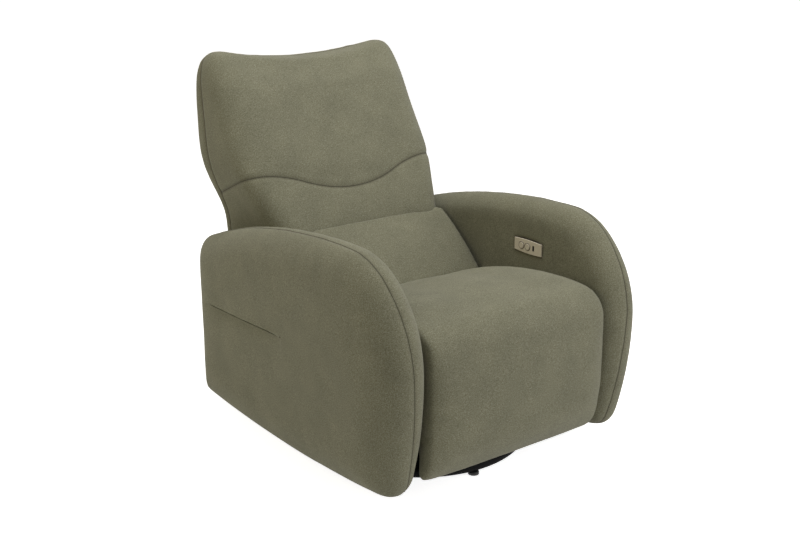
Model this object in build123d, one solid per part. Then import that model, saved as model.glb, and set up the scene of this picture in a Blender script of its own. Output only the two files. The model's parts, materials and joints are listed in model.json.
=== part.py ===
from build123d import *
import os
from math import cos, pi, radians, sin, sqrt, tan

os.makedirs("parts", exist_ok=True)

# Driving dimensions in mm. Places are measured from the swivel axis at floor level; the chair faces -Y.

# Fits
SLIP = 0.3            # gap between pieces that must not touch
RUN = 0.05            # radial running clearance of pins and rods
SEAM = 1.5            # gap left by a sewn seam between two filled chambers

# Base and swivel
FOOT_COUNT = 6
FOOT_D = 28
FOOT_H = 8
FOOT_TURN = 263       # degrees, where the first foot sits
RING_R = 275
RING_TUBE_D = 26
PAN_LAP = 6           # how far the pan reaches into the ring
PAN_T = 3
HUB_R = 80
HUB_WALL = 4
HUB_H = 89
PLATE_SIDE = 200
PLATE_T = 6
BALL_D = 8
BALL_COUNT = 16
BALL_CIRCLE_R = 60
SWIVEL_BOLT_D = 16
SWIVEL_HEAD_D = 28
SWIVEL_HEAD_H = 9

# Steel chassis
TUBE_W = 25
TUBE_H = 40
TUBE_WALL = 2
CROSS_SPREAD = 165    # cross tubes ahead of and behind the swivel axis
RAIL_FRONT = -278
RAIL_REAR = 452
APRON_T = 15
APRON_BOTTOM = 62
APRON_TOP = 165
SOCKET_D = 16
SOCKET_LENGTH = 8
SOCKET_X = 200

# Arms
ARM_FRONT = -421
ARM_REAR = 523
ARM_BOTTOM = 24       # lowest point, towards the rear
ARM_TOP = 622
ARM_KNEE = 368        # height of the foremost point
ARM_INNER = 276
ARM_SEAM = 332
ARM_OUTER = 398
ARM_INNER_ROLL = 56   # how far the inner edge is drawn in
ARM_OUTER_ROLL = 100  # how far the pillowed outer panel is drawn in
ARM_TOP_SLOPE = 20    # degrees, where the top runs into its rear corner
ARM_REAR_ROUND = 52
BOARD_T = 24
BOARD_INSET = 45
BOLT_D = 8
BOLT_HEAD_D = 16
BOLT_HEAD_H = 5
BOLT_PLACES = (-240, -60, 100, 330)

# Side pocket
POCKET_FRONT = 20
POCKET_REAR = 400
POCKET_BOTTOM = 172
POCKET_TOP = 350
POCKET_DEPTH = 14
POCKET_MOUTH = 12
POCKET_PANEL_T = 3

# Control plate on the inner face of the sitter's left arm
PANEL_Y = -113
PANEL_Z = 499
PANEL_L = 104
PANEL_END_H = 32
PANEL_MID_H = 37
PANEL_T = 3.2
HOUSING_L = 88
HOUSING_H = 28
HOUSING_DEPTH = 28
BUTTON_D = 17
BUTTON_PROUD = 1.8
BUTTON_TRAVEL = 1.5
BUTTON_L = 12
BUTTON_YS = (24, 1)   # behind the middle of the plate
USB_Y = -21
USB_OPEN_W = 5
USB_OPEN_H = 12.4
USB_WALL = 0.8
USB_DEPTH = 12

# Seat frame, springs and cushion
SEAT_FRAME_TOP = 345
SEAT_FRAME_H = 45
SEAT_RAIL_T = 22
SEAT_RAIL_OUT = 275.5
SEAT_FRAME_FRONT = -300
SEAT_FRAME_REAR = 184
RISER_T = 6
RISER_W = 40
RISER_YS = (-200, 20)
SPRING_D = 4
SPRING_COUNT = 5
SPRING_SPACING = 90
SPRING_SWING = 22
SPRING_LOOPS = 9
SEAT_HALF_W = 271
SEAT_TOP_REAR = 392   # where the seat's top rolls down in front of the lumbar bolster
SEAT_TOP_END = 58
SEAT_FULLNESS = 12    # how much fuller the seat is between nose and rear
SEAT_SHELF = 371      # under the lumbar bolster
SEAT_REAR = 172
SEAT_CROWN = 11

# Footrest
KNEE_Y = -335         # hinge line of the footrest
KNEE_Z = 385
NOSE_R = 75
NOSE_HOLLOW_R = 17    # room for the hinge in the nose
PAD_HALF_W = 270
PAD_BOTTOM = 88
PAD_EDGE = 40
PAD_ROLL = 12
PAD_CROWN = 6
FOOT_BOARD_T = 15
FOOT_BOARD_HALF_W = 245
FOOT_BOARD_BOTTOM = 104
FOOT_BOARD_DROP = 20  # top of the board below the hinge line
KNEE_PIN_D = 12
KNEE_EYE_R = 14
KNEE_PLATE_X = 226    # inner side of the fixed plate
HINGE_PLATE_T = 6
FOOT_SWING = 82

# Back
BACK_Y = 260          # hinge line of the back
BACK_Z = 330
BACK_SWING = 36
BACK_REAR = 625
BACK_HALF_W = 313
BACK_WAIST_HALF_W = 270
BACK_BOTTOM = 345
BACK_TOP = 982
BACK_SADDLE = 28      # dip of the top edge between its corners
BACK_ROUND = 66
BACK_SKIN = 12
BACK_PARTING_BOTTOM = 474
BACK_PARTING_TOP = 552
BACK_PARTING_Z = 880
BACK_CHEEK_X = 238    # the lower chamber is narrower beside the hinge plates
BACK_CHEEK_TOP = 462
WAVE_MID_Z = 614      # heights of the wave seam in a plane at WAVE_Y
WAVE_CREST_Z = 681
WAVE_CREST_X = 290
WAVE_Y = 325
WAVE_RATE = 0.4       # how fast the seam falls towards the rear
POST_W = 35
POST_D = 36
POST_OUT = 240
POST_DROP = 30
POST_SHORT = 77       # how far the posts end below the top, along their length
BACK_RAIL_H = 40
BACK_RAIL_UPS = (0, 0.43, 0.84)             # shares of the posts' length
STRAP_T = 2
STRAP_H = 50
STRAP_UPS = (0.143, 0.286, 0.56, 0.7)       # shares of the posts' length
BACK_PIN_D = 14
BACK_EYE_R = 24
LUMBAR_HALF_W = 266
LUMBAR_FRONT = 62
LUMBAR_LIP = 398      # height of the foremost point
LUMBAR_TOP = 540
LUMBAR_ROLL = 14
LUMBAR_CROWN = 10

# Actuators
FOOT_DROP = 120       # footrest actuator below the footrest hinge line
BACK_DROP = 105       # back actuator below the back hinge line
BACK_ACT_X = 124
TUBE_D = 38
ROD_D = 18
ACT_PIN_D = 12
EYE_W = 22
EYE_H = 30
FORK_T = 6
FORK_GAP = 1
GEARBOX_L = 100
MOTOR_D = 46
MOTOR_L = 95
LUG_T = 5
MOUNT_PIN_D = 10

# Derived places
SHIFT = (BACK_REAR + ARM_FRONT) / 2
RING_Z = FOOT_H + RING_TUBE_D / 2
PAN_TOP = RING_Z + PAN_T / 2
LOWER_PLATE_Z = PAN_TOP + HUB_H
BALL_Z = LOWER_PLATE_Z + PLATE_T + BALL_D / 2
UPPER_PLATE_Z = BALL_Z + BALL_D / 2 + SLIP
CHASSIS_Z = UPPER_PLATE_Z + PLATE_T
CHASSIS_TOP = CHASSIS_Z + TUBE_H
BOARD_X = ARM_SEAM - BOARD_T
RAIL_X = BOARD_X - TUBE_W
SEAT_RAIL_IN = SEAT_RAIL_OUT - SEAT_RAIL_T - 1
SEAT_FRAME_Z = SEAT_FRAME_TOP - SEAT_FRAME_H
CUSHION_Z = SEAT_FRAME_TOP + SPRING_D + SLIP
SEAT_TOP = KNEE_Z + NOSE_R
BOARD_BACK = KNEE_Y
PAD_BACK = BOARD_BACK - FOOT_BOARD_T
PAD_FRONT = KNEE_Y - NOSE_R
FOOT_ROD_Z = KNEE_Z - FOOT_DROP
FOOT_HALF_SWING = radians(FOOT_SWING / 2)
FOOT_PIN_Y = KNEE_Y + FOOT_DROP * tan(FOOT_HALF_SWING)
FOOT_STROKE = 2 * FOOT_DROP * tan(FOOT_HALF_SWING)
BACK_ROD_Z = BACK_Z - BACK_DROP
BACK_HALF_SWING = radians(BACK_SWING / 2)
BACK_PIN_Y = BACK_Y + BACK_DROP * tan(BACK_HALF_SWING)
BACK_STROKE = 2 * BACK_DROP * tan(BACK_HALF_SWING)
POST_L = BACK_TOP - BACK_BOTTOM - POST_SHORT
LEAN = (BACK_PARTING_TOP - BACK_PARTING_BOTTOM) / (BACK_PARTING_Z - BACK_BOTTOM)
LEAN_UP = Vector(0, LEAN, 1).normalized()
LEAN_OUT = Vector(0, 1, -LEAN).normalized()
HINGE_X = SEAT_RAIL_IN - HINGE_PLATE_T


def save(name, *solids):
    # Writes one node, moved so that the frame's origin is under the middle of the whole chair
    moved = [Pos(0, -SHIFT, 0) * s for solid in solids for s in solid.solids()]
    export_step(moved[0] if len(moved) == 1 else Compound(moved), f"parts/{name}.step")


def span_box(x0, x1, y0, y1, z0, z1):
    return Pos((x0 + x1) / 2, (y0 + y1) / 2, (z0 + z1) / 2) * Box(abs(x1 - x0), abs(y1 - y0), abs(z1 - z0))


def rod_x(x0, x1, y, z, d):
    return Pos((x0 + x1) / 2, y, z) * Rot(0, 90, 0) * Cylinder(d / 2, abs(x1 - x0))


def rod_y(x, y0, y1, z, d):
    return Pos(x, (y0 + y1) / 2, z) * Rot(90, 0, 0) * Cylinder(d / 2, abs(y1 - y0))


def slab(points, x0, x1):
    # A plate standing in the side view, from an outline of (y, z) points
    return extrude(Plane.YZ.offset(min(x0, x1)) * make_face(Polyline(*points, close=True)), abs(x1 - x0))


def on_slice(x, edges):
    return Plane.YZ.offset(x) * make_face(Curve() + edges)


def mirrored(solid):
    return mirror(solid, about=Plane.YZ)


def roll(u):
    # Quarter-ellipse edge: 0 where the roll starts, 1 at its end
    return 1 - sqrt(1 - u * u)


def cushion_slices(half, edge, depth, crown):
    # Slices of a crowned cushion across its width: each x with the depth drawn in there
    side = [(half - edge + edge * u, depth * roll(u)) for u in (0.3, 0.55, 0.75, 0.9, 1)]
    flat = [(0, -crown), ((half - edge) * 0.6, -crown * 0.6), (half - edge, 0)]
    right = flat + side
    return [(-x, d) for x, d in reversed(right) if x] + right


def lean_point(out, up):
    # A point (y, z) of the leaning back frame: distance behind the parting plane, and up along it
    p = Vector(0, BACK_PARTING_BOTTOM, BACK_BOTTOM) + LEAN_OUT * out + LEAN_UP * up
    return (p.Y, p.Z)


def lean_slab(x0, x1, out0, out1, up0, up1):
    corners = [lean_point(out0, up0), lean_point(out1, up0), lean_point(out1, up1), lean_point(out0, up1)]
    return slab(corners, x0, x1)


# Base and swivel

def make_base():
    tube = Pos(0, 0, RING_Z) * Torus(RING_R, RING_TUBE_D / 2)
    pan_r = RING_R - RING_TUBE_D / 2 + PAN_LAP
    pan_z = RING_Z
    save("base_ring", tube - Pos(0, 0, pan_z) * Cylinder(pan_r + SLIP / 3, PAN_T))
    save("base_pan", Pos(0, 0, pan_z) * Cylinder(pan_r, PAN_T))
    turns = [FOOT_TURN + 360 * k / FOOT_COUNT for k in range(FOOT_COUNT)]
    foot = Pos(RING_R, 0, FOOT_H / 2) * Cylinder(FOOT_D / 2, FOOT_H)
    foot = chamfer(foot.edges().group_by(Axis.Z)[-1], FOOT_H / 4)
    save("base_glides", *[Rot(0, 0, t) * foot for t in turns])
    hub = Cylinder(HUB_R, HUB_H) - Cylinder(HUB_R - HUB_WALL, HUB_H)
    save("base_hub", Pos(0, 0, PAN_TOP + HUB_H / 2) * hub)


def make_swivel():
    bore = Cylinder(SWIVEL_BOLT_D / 2 + RUN, 4 * PLATE_T)
    lower = fillet(Box(PLATE_SIDE, PLATE_SIDE, PLATE_T).edges().filter_by(Axis.Z), PLATE_SIDE / 10)
    save("swivel_lower_plate", Pos(0, 0, LOWER_PLATE_Z + PLATE_T / 2) * (lower - bore))
    upper = Box(PLATE_SIDE, 2 * CROSS_SPREAD + TUBE_W, PLATE_T) - bore
    save("swivel_upper_plate", Pos(0, 0, UPPER_PLATE_Z + PLATE_T / 2) * upper)
    ball = Pos(BALL_CIRCLE_R, 0, BALL_Z) * Sphere(BALL_D / 2)
    save("swivel_balls", *[Rot(0, 0, 360 * k / BALL_COUNT) * ball for k in range(BALL_COUNT)])
    head_z = CHASSIS_Z + SLIP
    foot_z = LOWER_PLATE_Z - SWIVEL_HEAD_H
    shank = Pos(0, 0, (head_z + foot_z) / 2) * Cylinder(SWIVEL_BOLT_D / 2, head_z - foot_z)
    head = Pos(0, 0, head_z + SWIVEL_HEAD_H / 2) * Cylinder(SWIVEL_HEAD_D / 2, SWIVEL_HEAD_H)
    nut = Pos(0, 0, foot_z + SWIVEL_HEAD_H / 2) * Cylinder(SWIVEL_HEAD_D / 2, SWIVEL_HEAD_H)
    save("swivel_bolt", shank + head + nut)


# Steel chassis

def make_chassis():
    outer = Box(2 * RAIL_X, TUBE_W, TUBE_H)
    cross = outer - Box(2 * RAIL_X, TUBE_W - 2 * TUBE_WALL, TUBE_H - 2 * TUBE_WALL)
    mid_z = CHASSIS_Z + TUBE_H / 2
    save("front_cross_tube", Pos(0, -CROSS_SPREAD, mid_z) * cross)
    save("rear_cross_tube", Pos(0, CROSS_SPREAD, mid_z) * cross)
    length = RAIL_REAR - RAIL_FRONT
    rail = Box(TUBE_W, length, TUBE_H) - Box(TUBE_W - 2 * TUBE_WALL, length, TUBE_H - 2 * TUBE_WALL)
    rail = Pos(RAIL_X + TUBE_W / 2, (RAIL_FRONT + RAIL_REAR) / 2, mid_z) * rail
    for y in BOLT_PLACES:
        rail -= rod_x(RAIL_X, BOARD_X, y, mid_z, BOLT_D + 2 * SLIP)
    save("right_base_rail", mirrored(rail))
    save("left_base_rail", rail)
    bolts = []
    for y in BOLT_PLACES:
        shank = rod_x(RAIL_X, ARM_SEAM - BOLT_HEAD_H, y, mid_z, BOLT_D)
        bolts.append(shank + rod_x(RAIL_X - BOLT_HEAD_H, RAIL_X, y, mid_z, BOLT_HEAD_D))
    save("arm_bolts", *bolts, *[mirrored(b) for b in bolts])
    rear = RAIL_REAR + APRON_T
    apron = span_box(-BOARD_X + SLIP, BOARD_X - SLIP, RAIL_REAR, rear, APRON_BOTTOM, APRON_TOP)
    apron = fillet(apron.edges().filter_by(Axis.X).group_by(Axis.Y)[-1], APRON_T / 3)
    socket_z = (APRON_BOTTOM + APRON_TOP) / 2
    save("rear_apron", apron - rod_y(SOCKET_X, RAIL_REAR, rear, socket_z, SOCKET_D))
    socket = rod_y(SOCKET_X, rear - SOCKET_LENGTH, rear, socket_z, SOCKET_D - SLIP)
    flange = rod_y(SOCKET_X, rear, rear + 2, socket_z, SOCKET_D * 1.4)
    mouth = rod_y(SOCKET_X, rear - SOCKET_LENGTH / 2, rear + 2, socket_z, SOCKET_D / 2)
    save("power_socket", socket + flange - mouth)


# Arms

def arm_slice(x, draw):
    # Side outline of an arm, drawn in towards its middle by the given depth
    mid_y, mid_z = (ARM_FRONT + ARM_REAR) / 2, (ARM_BOTTOM + ARM_TOP) / 2
    shrink_y = 1 - 2 * draw / (ARM_REAR - ARM_FRONT)
    shrink_z = 1 - 2 * draw / (ARM_TOP - ARM_BOTTOM)

    def at(y, z):
        return (mid_y + (y - mid_y) * shrink_y, mid_z + (z - mid_z) * shrink_z)

    slope = radians(ARM_TOP_SLOPE)
    crown_y = ARM_FRONT + 221
    reach = ARM_REAR_ROUND * tan((pi / 2 - slope) / 2)
    hip_y = ARM_REAR - reach * cos(slope)
    hip_z = ARM_TOP - (hip_y - crown_y) * tan(slope / 2)
    sole = at(ARM_FRONT + 90, ARM_BOTTOM + 36)
    toe = at(ARM_FRONT + 38, ARM_BOTTOM + 76)
    knee = at(ARM_FRONT, ARM_KNEE)
    brow = at(ARM_FRONT + 96, ARM_TOP - 46)
    crown = at(crown_y, ARM_TOP)
    hip = at(hip_y, hip_z)
    rump = at(ARM_REAR, hip_z - reach * (1 + sin(slope)))
    heel = at(ARM_REAR, ARM_BOTTOM + 6)
    belly = at(ARM_FRONT + 540, ARM_BOTTOM)
    shin = TangentArc(knee, toe, tangent=(0, -1))
    tip = TangentArc(toe, sole, tangent=shin % 1)
    front = TangentArc(knee, brow, tangent=(0, 1))
    top = TangentArc(brow, crown, tangent=front % 1)
    ridge = TangentArc(crown, hip, tangent=(1, 0))
    rear = TangentArc(hip, rump, tangent=ridge % 1)
    bottom = ThreePointArc(heel, belly, sole)
    return on_slice(x, [shin, tip, front, top, ridge, rear, Line(rump, heel), bottom])


def make_arm_pads():
    inner_edge = ARM_SEAM - SLIP / 2 - ARM_INNER
    inner = [(ARM_INNER + inner_edge * (1 - u), ARM_INNER_ROLL * roll(u))
             for u in (1, 0.93, 0.8, 0.55, 0.25, 0)]
    outer_edge = ARM_OUTER - ARM_SEAM - SLIP / 2
    outer = [(ARM_SEAM + SLIP / 2 + outer_edge * u, ARM_OUTER_ROLL * roll(u))
             for u in (0, 0.3, 0.55, 0.78, 0.93, 1)]
    return [loft([arm_slice(x, d) for x, d in rows]) for rows in (inner, outer)]


def make_arms():
    band, panel = make_arm_pads()
    board = extrude(arm_slice(BOARD_X, BOARD_INSET), BOARD_T - SEAM)
    mid_z = CHASSIS_Z + TUBE_H / 2
    band -= extrude(arm_slice(BOARD_X - SLIP, BOARD_INSET - SLIP), 2 * BOARD_T)
    # Below the seat the inner side is left bare for the chassis
    band -= span_box(0, BOARD_X, SEAT_FRAME_FRONT, 2 * ARM_REAR, 0, SEAT_FRAME_Z + 2)
    for y in BOLT_PLACES:
        board -= rod_x(BOARD_X, ARM_SEAM, y, mid_z, BOLT_D + 2 * SLIP)
    save("left_arm_board", board)
    save("right_arm_board", mirrored(board))
    housing_y, housing_z = HOUSING_L / 2 + SLIP, HOUSING_H / 2 + SLIP
    bay = span_box(ARM_INNER, ARM_INNER + HOUSING_DEPTH + SLIP, PANEL_Y - housing_y, PANEL_Y + housing_y,
                   PANEL_Z - housing_z, PANEL_Z + housing_z)
    save("left_arm_band", band - bay)
    save("right_arm_band", mirrored(band))
    save("left_arm_panel", panel)
    back_wall = ARM_OUTER - POCKET_DEPTH
    recess = span_box(back_wall, ARM_OUTER + 1, POCKET_FRONT, POCKET_REAR, POCKET_BOTTOM, POCKET_TOP)
    cover = panel & span_box(ARM_OUTER - 60, ARM_OUTER, POCKET_FRONT, POCKET_REAR, POCKET_BOTTOM, POCKET_TOP)
    skin = cover & span_box(ARM_OUTER - POCKET_PANEL_T, ARM_OUTER, POCKET_FRONT + SLIP, POCKET_REAR - SLIP,
                            POCKET_BOTTOM, POCKET_TOP - POCKET_MOUTH)
    save("right_arm_panel", mirrored(panel - recess))
    save("side_pocket", mirrored(skin))


# Control plate

def make_controls():
    face = ARM_INNER - PANEL_T
    ends = PANEL_L / 2
    outline = Curve() + [
        ThreePointArc((-ends, PANEL_END_H / 2), (0, PANEL_MID_H / 2), (ends, PANEL_END_H / 2)),
        Line((ends, PANEL_END_H / 2), (ends, -PANEL_END_H / 2)),
        ThreePointArc((ends, -PANEL_END_H / 2), (0, -PANEL_MID_H / 2), (-ends, -PANEL_END_H / 2)),
        Line((-ends, -PANEL_END_H / 2), (-ends, PANEL_END_H / 2)),
    ]
    plate = extrude(Plane.YZ.offset(face) * Pos(PANEL_Y, PANEL_Z) * make_face(outline), PANEL_T)
    plate = fillet(plate.edges().group_by(Axis.X)[0], PANEL_T / 4)
    deep = ARM_INNER + HOUSING_DEPTH
    housing = span_box(ARM_INNER, deep, PANEL_Y - HOUSING_L / 2, PANEL_Y + HOUSING_L / 2,
                       PANEL_Z - HOUSING_H / 2, PANEL_Z + HOUSING_H / 2)
    for name, y in zip(("button_open", "button_close"), BUTTON_YS):
        end = face - BUTTON_PROUD + BUTTON_L
        hole = rod_x(face, end + BUTTON_TRAVEL + 1, PANEL_Y + y, PANEL_Z, BUTTON_D + 2 * SLIP)
        plate -= hole
        housing -= hole
        button = rod_x(face - BUTTON_PROUD, end, PANEL_Y + y, PANEL_Z, BUTTON_D)
        save(name, fillet(button.edges().group_by(Axis.X)[0], BUTTON_PROUD / 2))
    half_w, half_h = USB_OPEN_W / 2 + USB_WALL, USB_OPEN_H / 2 + USB_WALL
    y = PANEL_Y + USB_Y
    depth = face + USB_DEPTH + USB_WALL
    port = span_box(face, depth, y - half_w, y + half_w, PANEL_Z - half_h, PANEL_Z + half_h)
    hollow = span_box(face, face + USB_DEPTH, y - half_w + USB_WALL, y + half_w - USB_WALL,
                      PANEL_Z - half_h + USB_WALL, PANEL_Z + half_h - USB_WALL)
    slot = span_box(face, depth, y - half_w - SLIP / 3, y + half_w + SLIP / 3,
                    PANEL_Z - half_h - SLIP / 3, PANEL_Z + half_h + SLIP / 3)
    save("usb_port", port - hollow)
    save("control_plate", plate - slot)
    save("control_housing", housing - slot)


# Seat

def make_seat_frame():
    z0, z1 = SEAT_FRAME_Z, SEAT_FRAME_TOP
    side = span_box(SEAT_RAIL_IN, SEAT_RAIL_OUT, SEAT_FRAME_FRONT, BACK_Y + 17, z0, z1)
    save("left_seat_rail", side)
    save("right_seat_rail", mirrored(side))
    front = span_box(-SEAT_RAIL_IN, SEAT_RAIL_IN, SEAT_FRAME_FRONT, SEAT_FRAME_FRONT + SEAT_RAIL_T, z0, z1)
    # Notch over the footrest lever
    notch = EYE_W + 2 * FORK_T + 20
    save("seat_front_rail", front - span_box(-notch, notch, SEAT_FRAME_FRONT, 0, z0, z1 - SEAT_RAIL_T / 2))
    rear_y = SEAT_FRAME_REAR - SEAT_RAIL_T
    save("seat_rear_rail", span_box(-SEAT_RAIL_IN, SEAT_RAIL_IN, rear_y, SEAT_FRAME_REAR, z0, z1))
    risers = []
    for y in RISER_YS:
        web = span_box(RAIL_X - RISER_T, RAIL_X, y - RISER_W / 2, y + RISER_W / 2, CHASSIS_Z, z0)
        foot = span_box(SEAT_RAIL_IN, RAIL_X, y - RISER_W / 2, y + RISER_W / 2, z0 - RISER_T, z0)
        risers.append(web + foot)
    save("seat_risers", *risers, *[mirrored(r) for r in risers])


def make_springs():
    first = SEAT_FRAME_FRONT + SEAT_RAIL_T / 2
    last = SEAT_FRAME_REAR - SEAT_RAIL_T / 2
    pitch = (last - first) / SPRING_LOOPS / 2
    turns = [(0, first)]
    for k in range(2 * SPRING_LOOPS):
        side = SPRING_SWING if k % 2 else -SPRING_SWING
        turns += [(side, first + k * pitch), (side, first + (k + 1) * pitch)]
    turns.append((0, last))
    path = FilletPolyline(*turns, radius=pitch * 0.45)
    wire = sweep(Plane(path @ 0, z_dir=path % 0) * Circle(SPRING_D / 2), path=path)
    places = [(k - (SPRING_COUNT - 1) / 2) * SPRING_SPACING for k in range(SPRING_COUNT)]
    save("seat_springs", *[Pos(x, 0, SEAT_FRAME_TOP + SPRING_D / 2) * wire for x in places])


def seat_slice(x, draw):
    front = KNEE_Y + SLIP + SLIP
    step_y, step_z = SEAT_FRAME_FRONT + 6, KNEE_Z + NOSE_HOLLOW_R + 3
    fuller = SEAT_FULLNESS * (PAD_ROLL - draw) / (PAD_ROLL + SEAT_CROWN)
    brow = (front, SEAT_TOP - draw)
    mid = ((front + SEAT_TOP_END) / 2, 0.75 * SEAT_TOP + 0.25 * SEAT_TOP_REAR - draw + fuller)
    tail = (SEAT_TOP_END, SEAT_TOP_REAR - draw)
    shelf, back = (SEAT_TOP_END + 2, SEAT_SHELF), (SEAT_REAR, SEAT_SHELF)
    low, step = (SEAT_REAR, CUSHION_Z), (step_y, CUSHION_Z)
    return on_slice(x, [
        ThreePointArc(brow, mid, tail), Line(tail, shelf), Line(shelf, back), Line(back, low),
        Line(low, step), Line(step, (step_y, step_z)), Line((step_y, step_z), (front, step_z)),
        Line((front, step_z), brow),
    ])


def make_seat_cushion():
    rows = cushion_slices(SEAT_HALF_W, PAD_EDGE, PAD_ROLL, SEAT_CROWN)
    save("seat_cushion", loft([seat_slice(x, d) for x, d in rows], ruled=True))


# Footrest

def nose_slice(x, draw):
    # The crown is fuller on top of the seat than on the front panel
    r = NOSE_R - max(draw, draw * PAD_CROWN / SEAT_CROWN)
    top = KNEE_Z + NOSE_R - draw
    back, low, hollow = KNEE_Y + SLIP, KNEE_Z + SLIP, NOSE_HOLLOW_R
    slant = cos(pi / 4)
    reach = r + (top - KNEE_Z - r) * 0.5
    outer = ThreePointArc((back, top), (KNEE_Y - reach * slant, KNEE_Z + reach * slant), (KNEE_Y - r, low))
    inner = ThreePointArc((KNEE_Y - hollow, low), (KNEE_Y - hollow * slant, KNEE_Z + hollow * slant),
                          (back, KNEE_Z + hollow))
    return on_slice(x, [outer, Line((KNEE_Y - r, low), (KNEE_Y - hollow, low)), inner,
                        Line((back, KNEE_Z + hollow), (back, top))])


def pad_slice(x, draw):
    front, low = PAD_FRONT + draw, PAD_BOTTOM + draw * 0.15
    shin = (front, PAD_BOTTOM + 158)
    thick = PAD_BACK - front
    toe = (front + 0.2 * thick, low + 44)
    sole = (front + 0.65 * thick, low)
    heel = (PAD_BACK, low + 4)
    lower = TangentArc(shin, toe, tangent=(0, -1))
    tip = TangentArc(toe, sole, tangent=lower % 1)
    return on_slice(x, [lower, tip, Line(sole, heel), Line(heel, (PAD_BACK, KNEE_Z)),
                        Line((PAD_BACK, KNEE_Z), (front, KNEE_Z)), Line((front, KNEE_Z), shin)])


def make_footrest_pads():
    rows = cushion_slices(PAD_HALF_W, PAD_EDGE, PAD_ROLL, SEAT_CROWN)
    save("seat_nose", loft([nose_slice(x, d) for x, d in rows], ruled=True))
    rows = cushion_slices(PAD_HALF_W, PAD_EDGE, PAD_ROLL, PAD_CROWN)
    save("footrest_pad", loft([pad_slice(x, d) for x, d in rows], ruled=True))


def make_footrest_frame():
    board_top = KNEE_Z - FOOT_BOARD_DROP
    board = span_box(-FOOT_BOARD_HALF_W, FOOT_BOARD_HALF_W, PAD_BACK, BOARD_BACK,
                     FOOT_BOARD_BOTTOM, board_top)
    save("footrest_board", fillet(board.edges().filter_by(Axis.Y), FOOT_BOARD_T))

    ear_in, ear_out = KNEE_PLATE_X - 0.5 - HINGE_PLATE_T, KNEE_PLATE_X - 0.5
    low = board_top - 100
    edge = KNEE_Y + KNEE_EYE_R
    ear = slab([(BOARD_BACK, low), (edge, low + 14), (edge, KNEE_Z), (BOARD_BACK, KNEE_Z)], ear_in, ear_out)
    ear += rod_x(ear_in, ear_out, KNEE_Y, KNEE_Z, 2 * KNEE_EYE_R)
    ear -= rod_x(ear_in, ear_out, KNEE_Y, KNEE_Z, KNEE_PIN_D + 2 * RUN)
    save("footrest_ears", ear, mirrored(ear))

    plate_out = KNEE_PLATE_X + HINGE_PLATE_T
    root = SEAT_FRAME_FRONT
    plate = slab([(root, SEAT_FRAME_Z), (KNEE_Y + 2, KNEE_Z - KNEE_EYE_R + 1), (KNEE_Y + 9, KNEE_Z + 10),
                  (root, SEAT_FRAME_TOP)], KNEE_PLATE_X, plate_out)
    plate += rod_x(KNEE_PLATE_X, plate_out, KNEE_Y, KNEE_Z, 2 * KNEE_EYE_R)
    plate += span_box(KNEE_PLATE_X - 30, KNEE_PLATE_X, root - 4, root, SEAT_FRAME_Z + 2, SEAT_FRAME_TOP - 2)
    plate -= rod_x(KNEE_PLATE_X, plate_out, KNEE_Y, KNEE_Z, KNEE_PIN_D + RUN)
    save("footrest_brackets", plate, mirrored(plate))

    pin = rod_x(ear_in - 4, plate_out, KNEE_Y, KNEE_Z, KNEE_PIN_D)
    pin += rod_x(ear_in - 4, ear_in - SLIP, KNEE_Y, KNEE_Z, KNEE_PIN_D + 7)
    return pin


def radial(y, z, angle, along, aside):
    # A point (y, z) on a lever that hangs from a hinge at the given angle behind straight down
    return (y + along * sin(angle) + aside * cos(angle), z - along * cos(angle) + aside * sin(angle))


def fork_plates(middle, outline, slot):
    # Two equal lever plates either side of a rod's eye
    near = EYE_W / 2 + FORK_GAP
    plates = []
    for x0 in (middle + near, middle - near - FORK_T):
        plates.append(slab(outline, x0, x0 + FORK_T) - slab(slot, x0, x0 + FORK_T))
    return plates


def make_footrest_lever():
    # The eye's pin runs straight while the lever swings, so the slot is wider than the pin
    angle = FOOT_HALF_SWING
    near, far = FOOT_DROP - 2 * ACT_PIN_D, FOOT_DROP / cos(angle) + 2 * ACT_PIN_D
    half = ACT_PIN_D / 2 + 9
    wide = half + 12

    def at(along, aside):
        return radial(KNEE_Y, KNEE_Z, angle, along, aside)

    slot = [at(near + ACT_PIN_D, -half), at(far - ACT_PIN_D, -half), at(far - ACT_PIN_D, half),
            at(near + ACT_PIN_D, half)]
    outline = [(BOARD_BACK, KNEE_Z - 205), at(far, -wide), at(far, wide), at(near, wide), at(near, -wide),
               (BOARD_BACK, KNEE_Z - 100)]
    save("footrest_lever", *fork_plates(0, outline, slot))


# Back

def back_slice(z, half, front, rear):
    r = min(BACK_ROUND, (rear - front) * 0.45)
    q = r * 0.5
    curl, tuck = r * (1 - cos(pi / 4)), q * (1 - cos(pi / 4))
    edges = [Line((r - half, front), (half - r, front)), Line((half - q, rear), (q - half, rear))]
    for s in (1, -1):
        edges += [
            ThreePointArc((s * (half - r), front), (s * (half - curl), front + curl), (s * half, front + r)),
            Line((s * half, front + r), (s * half, rear - q)),
            ThreePointArc((s * half, rear - q), (s * (half - tuck), rear - tuck), (s * (half - q), rear)),
        ]
    return Plane.XY.offset(z) * make_face(Curve() + edges)


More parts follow.
